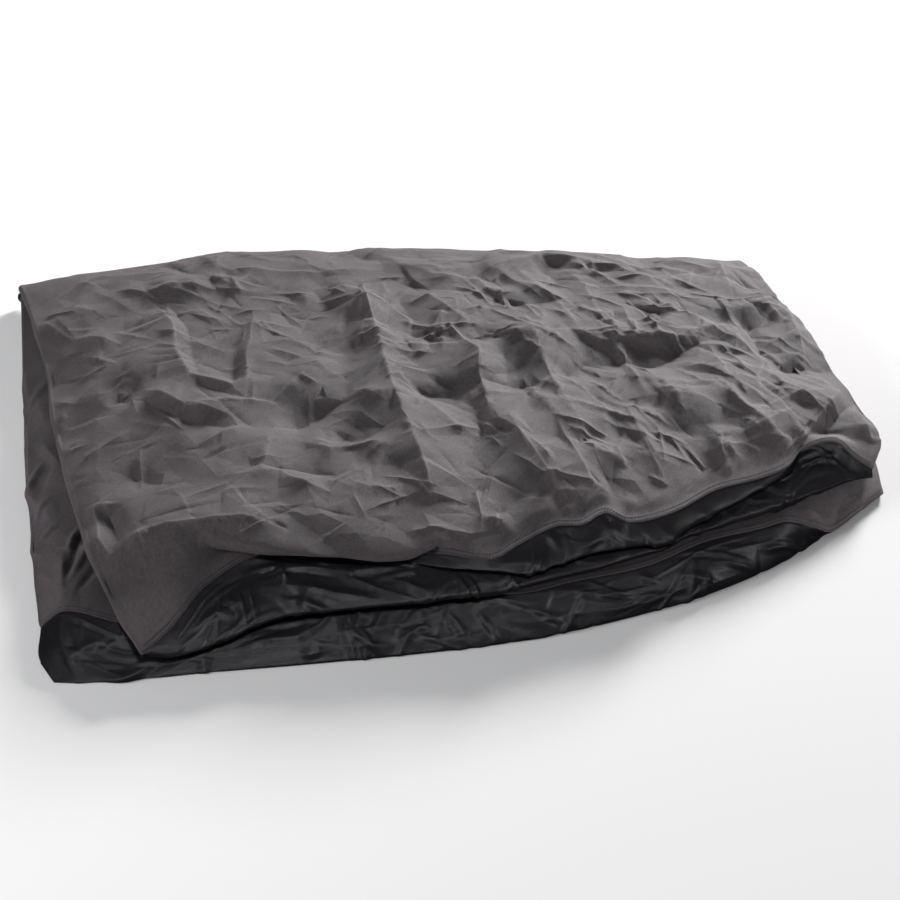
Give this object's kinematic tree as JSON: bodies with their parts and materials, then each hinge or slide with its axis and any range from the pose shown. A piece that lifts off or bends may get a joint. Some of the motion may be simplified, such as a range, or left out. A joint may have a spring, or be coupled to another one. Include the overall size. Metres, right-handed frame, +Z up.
{
  "type": "personal watercraft cover",
  "caption": "Fabric cover for a personal watercraft, folded into a loose flat pile: grey woven side panels with black nylon skirts folded back and forth at the front.",
  "frame": {"origin": "on the surface that the pile lies on, under the middle of its box", "axes": "+X along the pile to its right end, +Y to the back where the two panels meet at the ridge seam, +Z up"},
  "size_m": [1.385, 0.977, 0.1258],
  "materials": {
    "grey_polyester": "matte woven",
    "black_nylon": "slightly shiny coated nylon"
  },
  "bodies": {
    "root": {"upper_panel": "grey_polyester", "upper_skirt": "black_nylon", "lower_panel": "grey_polyester", "lower_skirt": "black_nylon"}
  },
  "joints": []
}
